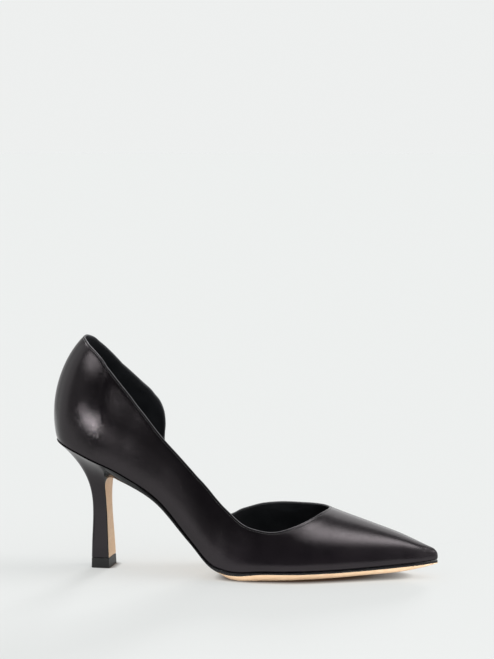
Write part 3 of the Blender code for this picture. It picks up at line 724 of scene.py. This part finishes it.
def build_upper(leather, lining, rim_highlight):
    """Closed shell: leather outside, rim in a lighter grey as a painted highlight, lining inside and the
    tucked lower edge.
    """
    tops, feet, edge = upper_columns()
    edge_points, along, up = edge_loop(tops, edge)
    outside = leather_side(tops, feet, edge_points)
    inside = lining_side(tops, feet)
    rim = rim_arcs(outside[edge, 0], inside[edge, 0], up)
    points = np.vstack([part.reshape(-1, 3) for part in (outside, inside, rim)])
    columns, rows, inside_rows = *outside.shape[:2], inside.shape[1]
    inside_start = columns * rows
    outer_faces = grid_faces(0, columns, rows)
    inner_faces = grid_faces(inside_start, columns, inside_rows)
    a = np.arange(1, columns) * rows - 1
    b = inside_start + np.arange(1, columns) * inside_rows - 1
    foot_faces = np.column_stack([a, a + rows, b + inside_rows, b]).tolist()
    rim_faces = grid_faces(inside_start + columns * inside_rows, *rim.shape[:2])
    # Painted highlight: the rim and the lining's top rows take the lighter grey rim tones
    in_column = np.arange(len(inner_faces)) % (inside_rows - 1)
    slots = [LEATHER_SLOT] * len(outer_faces)
    slots += np.where(in_column < LINING_SEAM_ROW, RIM_HIGHLIGHT_SLOT, LINING_SLOT).tolist()
    slots += [LEATHER_SLOT] * len(foot_faces) + [RIM_HIGHLIGHT_SLOT] * len(rim_faces)
    faces = outer_faces + inner_faces + foot_faces + rim_faces
    materials = [leather, lining, rim_highlight]
    piece = make_piece("upper_leather", points, faces, materials, "upper", slots)
    return piece, (edge_points, along, up)


def build_stitches(upper, edge, thread):
    """Row of thread stitches sunk in the groove under the top edge, all in one mesh."""
    surface = BVHTree.FromObject(upper, bpy.context.evaluated_depsgraph_get())
    places = resample(np.hstack(edge), STITCH_PITCH)[:-1].reshape(-1, len(edge), 3)
    turn = np.linspace(0.0, 2.0 * np.pi, STITCH_SIDES + 1)[:-1, None]
    points = []
    faces = []
    for edge_point, along, up in places:
        below = edge_point - up * STITCH_LINE
        place, normal, _, _ = surface.find_nearest(Vector((below + SHIFT) * MM))
        place = np.array(place) / MM - SHIFT
        normal = np.array(normal)
        ahead = along - normal * (along @ normal)
        ahead /= np.linalg.norm(ahead)
        circle = np.cos(turn) * np.cross(normal, ahead) + np.sin(turn) * normal
        start = len(points)
        for run, size, height in STITCH_RINGS:
            centre = place + ahead * run * STITCH_LENGTH + normal * height * STITCH_RADIUS
            points.extend(centre + circle * STITCH_RADIUS * size)
        faces += tube_faces(start, len(points), STITCH_SIDES)
        faces.append(list(range(start, start + STITCH_SIDES)))
        faces.append(list(range(len(points) - STITCH_SIDES, len(points))))
    make_piece("top_edge_stitches", points, faces, [thread], None)


def sole_value(x, name):
    """A column of the outsole's table at x."""
    return smooth(column(SOLE, SOLE_COLUMNS, "x"), column(SOLE, SOLE_COLUMNS, name), x)


def slope_normal(s):
    """Direction out of the sole, square to its slope seen from the side."""
    ahead = (feather(s + STEP_SOLE)[0] + feather(-s - STEP_SOLE)[0]) / 2.0
    behind = (feather(s - STEP_SOLE)[0] + feather(STEP_SOLE - s)[0]) / 2.0
    along = ahead - behind
    return unit(np.column_stack([along[:, 2], np.zeros(len(s)), -along[:, 0]]))


def sole_surface(s, steps, inset, crown_share=1.0):
    """Points across the shoe at each s, from the outer to the inner side, on the last's own bottom."""
    foot_outer, out_outer = feather(s)
    foot_inner, out_inner = feather(-s)
    normal = slope_normal(s)
    grade = -normal[:, :1] / normal[:, 2:]
    left = foot_outer - out_outer * inset
    right = foot_inner - out_inner * inset
    left[:, 2:] -= grade * out_outer[:, :1] * inset
    right[:, 2:] -= grade * out_inner[:, :1] * inset
    points = left[:, None] + (right - left)[:, None] * steps[None, :, None]
    bow = 4.0 * steps * (1.0 - steps)
    points[:, :, 2] -= crown_share * sole_value(foot_outer[:, 0], "crown") * bow
    return points


def s_at(x):
    """The s on the outer feather line at a distance x from the heel back."""
    s = np.linspace(0.0, TOE, FINE)
    return s[np.argmin(np.abs(feather(s)[0][:, 0] - x))]


def across_steps(count):
    """Shares across the sole, crowded towards both edges."""
    return 0.5 - 0.5 * np.cos(np.linspace(0.0, np.pi, count + 1))


def heel_column(z, name):
    """A column of the heel's table at the height z."""
    return smooth(column(HEEL, HEEL_COLUMNS, "z"), column(HEEL, HEEL_COLUMNS, name), z)[:, 0]


def rounded_corner(share, back, front, half):
    """Point on the outer half of a heel section, from its front corner (0) to the middle of its back (1)."""
    along = part(0.0, CORNER_START, share)
    turn = part(CORNER_START, CORNER_END, share) * np.pi / 2.0
    cross = part(CORNER_END, 1.0, share)
    x = front + (back + HEEL_CORNER - front) * along - HEEL_CORNER * np.sin(turn)
    y = -half + HEEL_CORNER * (1.0 - np.cos(turn)) + (half - HEEL_CORNER) * cross
    return x, y


def heel_rings(count):
    """Rings of the heel from its seat down to the top piece, each as its outer and inner half."""
    share = np.linspace(0.0, 1.0, HEEL_SIDE_STEPS + 1)
    s = s_at(SEAT_FRONT) * (1.0 - share)
    foot, out = feather(s)
    foot_inner, out_inner = feather(-s)
    margin = (SOLE_MARGIN + (SEAT_MARGIN - SOLE_MARGIN) * share)[:, None]
    seat = foot + out * margin
    seat_inner = foot_inner + out_inner * margin
    seat_z = foot[:, 2] - GAP
    bottom = TOP_PIECE_HEIGHT + GAP
    power = FLARE_POWER + (FLARE_FRONT_POWER - FLARE_POWER) * (1.0 - share) ** FLARE_FADE
    halves = []
    for level in np.linspace(0.0, 1.0, count) ** HEEL_CROWDING:
        z = seat_z + (bottom - seat_z) * level
        depth = np.maximum(seat_z - z - HEEL_LIP, 0.0)
        flare = np.maximum(1.0 - depth / FLARE_SPAN, 0.0)[:, None] ** power[:, None]
        front = heel_column(z, "front") - FLAP_THICKNESS
        x, y = rounded_corner(share, heel_column(z, "back"), front, heel_column(z, "half"))
        outer = np.column_stack([x, y]) * (1.0 - flare) + seat[:, :2] * flare
        inner = np.column_stack([x, -y]) * (1.0 - flare) + seat_inner[:, :2] * flare
        halves.append((np.column_stack([outer, z]), np.column_stack([inner, z])))
    return halves


def ring_stack(rings):
    """Points and faces of rings stacked one under the other, with a fan across each end."""
    size = len(rings[0])
    points = np.vstack([*rings, rings[0].mean(axis=0), rings[-1].mean(axis=0)])
    end = len(rings) * size
    faces = tube_faces(0, end, size)
    for centre, start in ((end, 0), (end + 1, end - size)):
        faces += [[centre, start + j, start + (j + 1) % size] for j in range(size)]
    return points, faces


def build_heel(leather):
    """Leather-covered heel, from the seat down to the top piece."""
    rings = []
    across = np.linspace(0.0, 1.0, HEEL_FRONT_STEPS + 1)[1:-1, None]
    for outer, inner in heel_rings(HEEL_RINGS):
        front = inner[0] + (outer[0] - inner[0]) * across
        rings.append(np.vstack([outer, inner[-2::-1], front]))
    points, faces = ring_stack(rings)
    make_piece("heel_cover", points, faces, [leather], "heel")


def build_top_piece(rubber):
    """Rubber lift under the heel with softened edges and a flat tread."""
    share = np.linspace(0.0, 1.0, HEEL_SIDE_STEPS + 1)
    rings = []
    for z, inset in TOP_PIECE_PROFILE:
        level = np.full(len(share), z)
        back, front, half = (heel_column(level, name) for name in HEEL_COLUMNS[1:])
        x, y = rounded_corner(share, back + inset, front - inset, half - inset)
        outer = np.column_stack([x, y, level])
        inner = np.column_stack([x, -y, level])
        rings.append(np.vstack([outer, inner[-2::-1]]))
    points, faces = ring_stack(rings)
    make_piece("heel_tip", points, faces, [rubber], "top_piece")


def sole_margin(s):
    """How far the sole stands out past the feather line; it comes flush at the toe."""
    return SOLE_MARGIN * (1.0 - ramp(TOE - TOE_FLUSH, TOE, s))[:, None]


def flap_rows(shank_end, across):
    """Rows of the flap: its back lies on the heel's front, its face leaves the shank in a hollow curve."""
    rings = heel_rings(FLAP_ROWS)
    backs = np.array([outer[0] + (inner[0] - outer[0]) * across[:, None] for outer, inner in rings])
    backs[:, :, 0] -= FLAP_BED
    faces = backs.copy()
    faces[:, :, 0] = heel_column(faces[:, :, 2].ravel(), "front").reshape(len(faces), -1)
    in_fold = int(np.sum(backs[:, 0, 2] > FOLD_BOTTOM))
    fold_end = faces[in_fold]
    corner = fold_end.copy()
    corner[:, 2] = shank_end[:, 2] + (shank_end[:, 0] - fold_end[:, 0]) * SHANK_GRADE
    share = (np.arange(in_fold) + 1.0)[:, None, None] / (in_fold + 1.0)
    left = 1.0 - share
    faces[:in_fold] = left ** 2 * shank_end + 2.0 * left * share * corner + share ** 2 * fold_end
    return backs, faces


def sole_edge(top, bottom):
    """Rounded strip from the upper to the lower edge of the sole on one side."""
    share = np.linspace(0.0, 1.0, SOLE_EDGE_STEPS + 1)[None, :, None]
    strip = top[:, None] + (bottom - top)[:, None] * share
    away = np.sign(top[:, 1]) * SOLE_EDGE_BULGE
    strip[:, :, 1] += away[:, None] * np.sin(np.pi * share[:, :, 0])
    return strip


def sole_sheets(across):
    """Upper and lower side of the sole: rows across it from the toe to the end of the flap."""
    toe_end = TOE - SOLE_TIP
    seat_end = s_at(SEAT_FRONT + SEAT_LAP)
    s = toe_end + (seat_end - toe_end) * np.linspace(0.0, 1.0, SOLE_ROWS) ** SOLE_CROWDING
    top = sole_surface(s, across, -sole_margin(s))
    top[:, :, 2] -= GAP
    near_heel = part(s_at(TUCK_START), seat_end, s) ** 2
    below_s = s + (s_at(FOLD_FRONT) - s_at(SEAT_FRONT)) * near_heel
    x = feather(below_s)[0][:, 0]
    fullness = 1.0 - np.abs(2.0 * across - 1.0) ** BELLY_POWER
    depth = sole_value(x, "edge") + sole_value(x, "belly") * fullness
    bottom = sole_surface(below_s, across, -sole_margin(below_s), 0.0)
    bottom[:, :, 2] -= GAP
    bottom = bottom + slope_normal(below_s)[:, None] * depth[:, :, None]
    bottom[:, :, 2] = np.maximum(bottom[:, :, 2], 0.0)
    bottom[:, :, 1] *= 1.0 - (1.0 - TUCK) * near_heel[:, None]
    flap_back, flap_face = flap_rows(bottom[-1], across)
    return np.vstack([top, flap_back]), np.vstack([bottom, flap_face])


def build_outsole(tan, paint):
    """Tan leather sole with a black painted edge, folded down the front of the heel as a thin flap."""
    top, bottom = sole_sheets(across_steps(SOLE_STEPS))
    rows, steps = top.shape[:2]
    sheet = rows * steps
    points = [top.reshape(-1, 3), bottom.reshape(-1, 3)]
    upper_faces = grid_faces(0, rows, steps)
    lower_faces = grid_faces(sheet, rows, steps)
    edge_faces = []
    for j in (0, -1):
        edge_faces += grid_faces(sum(map(len, points)), rows, SOLE_EDGE_STEPS + 1)
        points.append(sole_edge(top[:, j], bottom[:, j]).reshape(-1, 3))
    for row in (0, rows - 1):
        a = row * steps + np.arange(steps - 1)
        edge_faces += np.column_stack([a, a + 1, sheet + a + 1, sheet + a]).tolist()
    faces = upper_faces + lower_faces + edge_faces
    slots = [PAINT_SLOT] * len(upper_faces) + [TAN_SLOT] * len(lower_faces) + [PAINT_SLOT] * len(edge_faces)
    make_piece("sole_leather", np.vstack(points), faces, [tan, paint], "outsole", slots)


def build_sock(lining):
    """Sock of lining leather over the insole, with rounded edges that reach the lining of the wall."""
    across = across_steps(SOCK_STEPS)
    s = np.linspace(s_at(INSOLE_BACK), TOE - INSOLE_TIP, SOCK_ROWS)
    points = []
    for share, inset in SOCK_PROFILE:
        layer = sole_surface(s, across, INSOLE_INSET + inset)
        layer -= slope_normal(s)[:, None] * INSOLE_THICKNESS * share
        points.append(layer.reshape(-1, 3))
    rows, steps = len(s), len(across)
    sheet = rows * steps
    side = np.arange(rows - 1) * steps
    end = np.arange(steps - 1)
    a = np.concatenate([side, side + steps - 1, end, end + (rows - 1) * steps])
    b = a + np.repeat([steps, 1], [2 * len(side), 2 * len(end)])
    faces = grid_faces(0, rows, steps) + grid_faces((len(points) - 1) * sheet, rows, steps)
    for layer in range(len(points) - 1):
        border = np.column_stack([a, b, b + sheet, a + sheet]) + layer * sheet
        faces += border.tolist()
    make_piece("sock_lining", np.vstack(points), faces, [lining], "insole")


class Finish:
    """A material in the making: its shader, and short ways to add nodes and join them."""

    def __init__(self, name, **settings):
        self.material = bpy.data.materials.new(name)
        self.material.use_nodes = True
        self.tree = self.material.node_tree
        self.shader = self.tree.nodes["Principled BSDF"]
        self.place = self.add("ShaderNodeTexCoord").outputs["Object"]
        self.surface(**settings)

    def put(self, socket, value):
        """Give a socket a link or a plain value; a colour has three numbers."""
        if isinstance(value, bpy.types.NodeSocket):
            self.tree.links.new(value, socket)
        elif socket.type == "RGBA":
            socket.default_value = (*value, 1.0)
        else:
            socket.default_value = value

    def fill(self, node, inputs):
        """Fill the inputs of a node by their names, with _ for a space."""
        for name, value in inputs.items():
            self.put(node.inputs[name.replace("_", " ")], value)

    def add(self, kind, **inputs):
        """New node with its inputs filled."""
        node = self.tree.nodes.new(kind)
        self.fill(node, inputs)
        return node

    def noise(self, per_metre, detail, place=None):
        """Soft random pattern with this many features in a metre."""
        node = self.add("ShaderNodeTexNoise", Vector=place or self.place, Scale=per_metre, Detail=detail)
        return node.outputs["Fac"]

    def cells(self, per_metre):
        """Pebbled grain: small cells with lower seams between them, bent by a soft pattern."""
        bend = self.add("ShaderNodeTexNoise", Vector=self.place, Scale=per_metre * GRAIN_WANDER)
        place = self.mix("VECTOR", GRAIN_BEND, self.place, bend.outputs["Color"])
        node = self.add("ShaderNodeTexVoronoi", Vector=place, Scale=per_metre)
        node.feature = "DISTANCE_TO_EDGE"
        return self.span(node.outputs["Distance"], (0.0, GRAIN_EDGE))

    def fibres(self, detail):
        """Soft random pattern drawn out along the shoe."""
        place = self.add("ShaderNodeMapping", Vector=self.place, Scale=FIBRE_STRETCH)
        return self.noise(TAN_FIBRES, detail, place.outputs["Vector"])

    def span(self, value, source, target=(0.0, 1.0)):
        """Value spread from one range over another."""
        limits = {"From_Min": source[0], "From_Max": source[1], "To_Min": target[0], "To_Max": target[1]}
        return self.add("ShaderNodeMapRange", Value=value, **limits).outputs["Result"]

    def mix(self, kind, share, first, second):
        """Colour (RGBA) or place (VECTOR) between two by a share."""
        node = self.add("ShaderNodeMix")
        node.data_type = kind
        sockets = [socket for socket in node.inputs if socket.enabled]
        for socket, value in zip(sockets, (share, first, second)):
            self.put(socket, value)
        return next(socket for socket in node.outputs if socket.enabled)

    def bump(self, height, strength, distance, normal=None):
        """Relief on the surface, over the relief before it."""
        node = self.add("ShaderNodeBump", Height=height, Strength=strength, Distance=distance * MM)
        if normal is not None:
            self.put(node.inputs["Normal"], normal)
        return node.outputs["Normal"]

    def surface(self, **sockets):
        """Fill the shader's sockets, and give the material."""
        self.fill(self.shader, sockets)
        return self.material


def leather_finish(name, tones, gloss, shine, grain):
    """Smooth calf leather: two close tones, a fine grain, pores, soft swells and a shine."""
    finish = Finish(name, IOR=LEATHER_IOR, Specular_IOR_Level=shine, Specular_Tint=GLOSS_TINT)
    share = finish.span(finish.noise(TONE_SCALE, TONE_DETAIL), TONE_RANGE)
    rough = finish.span(finish.noise(GLOSS_SCALE, SOFT_DETAIL), WIDE_RANGE, gloss)
    per_metre, cells, pores, swell = grain
    relief = finish.bump(finish.noise(SWELL_SCALE, SOFT_DETAIL), swell, SWELL_HEIGHT)
    relief = finish.bump(finish.cells(per_metre), cells, GRAIN_HEIGHT, relief)
    relief = finish.bump(finish.noise(PORE_SCALE, SOFT_DETAIL), pores, PORE_HEIGHT, relief)
    return finish.surface(Base_Color=finish.mix("RGBA", share, *tones), Roughness=rough, Normal=relief)


def tan_finish():
    """Pale vegetable-tanned sole leather with fine fibres along the shoe."""
    finish = Finish("tan sole leather", IOR=DULL_IOR, Specular_IOR_Level=TAN_SHINE)
    fibres = finish.fibres(FIBRE_DETAIL)
    clouds = finish.noise(TONE_SCALE, TONE_DETAIL)
    tone = finish.mix("RGBA", finish.span(fibres, WIDE_RANGE), *TAN_TONES)
    tone = finish.mix("RGBA", finish.span(clouds, CLOUD_RANGE, CLOUD_SHARES), tone, TAN_CLOUD)
    rough = finish.span(clouds, WIDE_RANGE, TAN_GLOSS)
    relief = finish.bump(fibres, *FIBRE_RELIEF)
    relief = finish.bump(finish.noise(PORE_SCALE, SOFT_DETAIL), TAN_PORES, PORE_HEIGHT, relief)
    return finish.surface(Base_Color=tone, Roughness=rough, Normal=relief)


def paint_finish():
    """Black edge dressing, smoother than the leather and a little uneven."""
    finish = Finish("black edge paint", Base_Color=PAINT_COLOUR, Specular_IOR_Level=PAINT_SHINE)
    streaks = finish.fibres(TONE_DETAIL)
    rough = finish.span(streaks, WIDE_RANGE, PAINT_GLOSS)
    return finish.surface(Roughness=rough, Normal=finish.bump(streaks, *PAINT_RELIEF))


def rubber_finish():
    """Moulded black rubber with a fine stipple."""
    finish = Finish("black rubber", IOR=DULL_IOR)
    stipple = finish.noise(RUBBER_STIPPLE, SOFT_DETAIL)
    tone = finish.mix("RGBA", finish.noise(TONE_SCALE, SOFT_DETAIL), *RUBBER_TONES)
    rough = finish.span(stipple, WIDE_RANGE, RUBBER_GLOSS)
    return finish.surface(Base_Color=tone, Roughness=rough, Normal=finish.bump(stipple, *RUBBER_RELIEF))


def thread_finish():
    """Waxed black thread with its twist."""
    finish = Finish("black thread", Sheen_Weight=THREAD_SHEEN)
    twist = finish.noise(THREAD_TWIST, PLAIN_DETAIL)
    tone = finish.mix("RGBA", twist, *THREAD_TONES)
    rough = finish.span(twist, WIDE_RANGE, THREAD_GLOSS)
    return finish.surface(Base_Color=tone, Roughness=rough, Normal=finish.bump(twist, *THREAD_RELIEF))


def floor_finish():
    """Pale matt floor with a warm shade painted into its colour and glow where the shoe stands on it."""
    finish = Finish("pale floor", Roughness=FLOOR_ROUGHNESS, Specular_IOR_Level=FLOOR_SHINE)
    lean = finish.add("ShaderNodeNormal").outputs["Normal"]
    lean.default_value = CONTACT_LEAN
    near = finish.add("ShaderNodeAmbientOcclusion", Distance=FLOOR_CONTACT, Normal=lean)
    # Painted shade: near the shoe the floor's colour and glow go over to the warm shade tint
    clear = finish.span(near.outputs["AO"], CONTACT_SHARES)
    colour = finish.mix("RGBA", clear, PAINTED_SHADE_TINT, FLOOR_COLOUR)
    glow = finish.mix("RGBA", clear, PAINTED_SHADE_TINT, FLOOR_GLOW)
    return finish.surface(Base_Color=colour, Emission_Color=glow, Emission_Strength=GLOW_STRENGTH)


def make_sheet(name, width, height, material):
    """Flat rectangle for the studio."""
    w, h = width / 2.0, height / 2.0
    mesh = bpy.data.meshes.new(name)
    mesh.from_pydata([(-w, -h, 0.0), (w, -h, 0.0), (w, h, 0.0), (-w, h, 0.0)], [], [(0, 1, 2, 3)])
    mesh.materials.append(material)
    sheet = bpy.data.objects.new(name, mesh)
    bpy.context.scene.collection.objects.link(sheet)
    return sheet


def build_floor():
    """Seamless floor, wide enough that its far edge meets the pale surroundings."""
    floor = make_sheet("floor", FLOOR_SIZE, FLOOR_SIZE, floor_finish())


def direction(azimuth, elevation):
    """Unit vector, with azimuth 0 to the front of the picture and positive to the right."""
    a, e = math.radians(azimuth), math.radians(elevation)
    return Vector((math.sin(a) * math.cos(e), -math.cos(a) * math.cos(e), math.sin(e)))


def face(middle, azimuth, elevation, roll=0.0):
    """Placement at middle whose local Z looks the given way."""
    turn = direction(azimuth, elevation).to_track_quat("Z", "Y").to_matrix().to_4x4()
    return Matrix.Translation(middle) @ turn @ Matrix.Rotation(math.radians(roll), 4, "Z")


def build_card(name, middle, facing, size, strength):
    """Studio card that only shows in gloss: a soft box, or a dark flag where its strength is low."""
    material = bpy.data.materials.new(name)
    material.use_nodes = True
    nodes = material.node_tree.nodes
    nodes.clear()
    glow = nodes.new("ShaderNodeEmission")
    glow.inputs["Strength"].default_value = strength
    output = nodes.new("ShaderNodeOutputMaterial")
    material.node_tree.links.new(glow.outputs["Emission"], output.inputs["Surface"])
    card = make_sheet(name, *size, material)
    card.matrix_world = face(Vector(middle), *facing)
    card.visible_camera = False
    card.visible_diffuse = False
    card.visible_shadow = False
    card.visible_transmission = False


def build_lamp(name, kind, energy, placement):
    """Lamp that lights the shoe and the floor but doesn't show in gloss."""
    lamp = bpy.data.lights.new(name, kind)
    lamp.energy = energy
    item = bpy.data.objects.new(name, lamp)
    item.matrix_world = placement
    item.visible_glossy = False
    bpy.context.scene.collection.objects.link(item)
    return lamp


def build_light():
    """Pale surroundings, soft suns, a low strip, and the cards that the leather mirrors."""
    world = bpy.data.worlds.new("studio")
    world.use_nodes = True
    background = world.node_tree.nodes["Background"]
    background.inputs["Color"].default_value = (*WORLD_COLOUR, 1.0)
    bpy.context.scene.world = world
    for name, (strength, angle, azimuth, elevation) in SUNS.items():
        sun = build_lamp(name, "SUN", strength, face(Vector(), azimuth, elevation))
        sun.angle = math.radians(angle)
    strip = build_lamp("low_strip", "AREA", STRIP_POWER, face(Vector(STRIP_MIDDLE), *FRONT))
    strip.shape = "RECTANGLE"
    strip.size, strip.size_y = STRIP_SIZE
    strip.spread = math.radians(STRIP_SPREAD)
    for name, card in CARDS.items():
        build_card(name, *card)


def build_camera():
    """Camera at the photograph's angle to the shoe."""
    data = bpy.data.cameras.new("camera")
    data.lens = LENS
    data.sensor_width = SENSOR
    camera = bpy.data.objects.new("camera", data)
    aim = Vector((np.array(CAMERA_AIM) + SHIFT) * MM)
    middle = aim + direction(CAMERA_AZIMUTH, CAMERA_ELEVATION) * CAMERA_DISTANCE
    camera.matrix_world = face(middle, CAMERA_AZIMUTH, CAMERA_ELEVATION)
    bpy.context.scene.collection.objects.link(camera)
    bpy.context.scene.camera = camera
    bpy.context.scene.view_settings.view_transform = "Standard"


def main():
    """Make every piece and the studio."""
    leathers = (leather_finish(name, *settings) for name, settings in LEATHERS.items())
    black, cover, lining, rim_highlight = leathers
    upper, edge = build_upper(black, lining, rim_highlight)
    build_stitches(upper, edge, thread_finish())
    build_sock(lining)
    build_outsole(tan_finish(), paint_finish())
    build_heel(cover)
    build_top_piece(rubber_finish())
    build_floor()
    build_light()
    build_camera()


main()
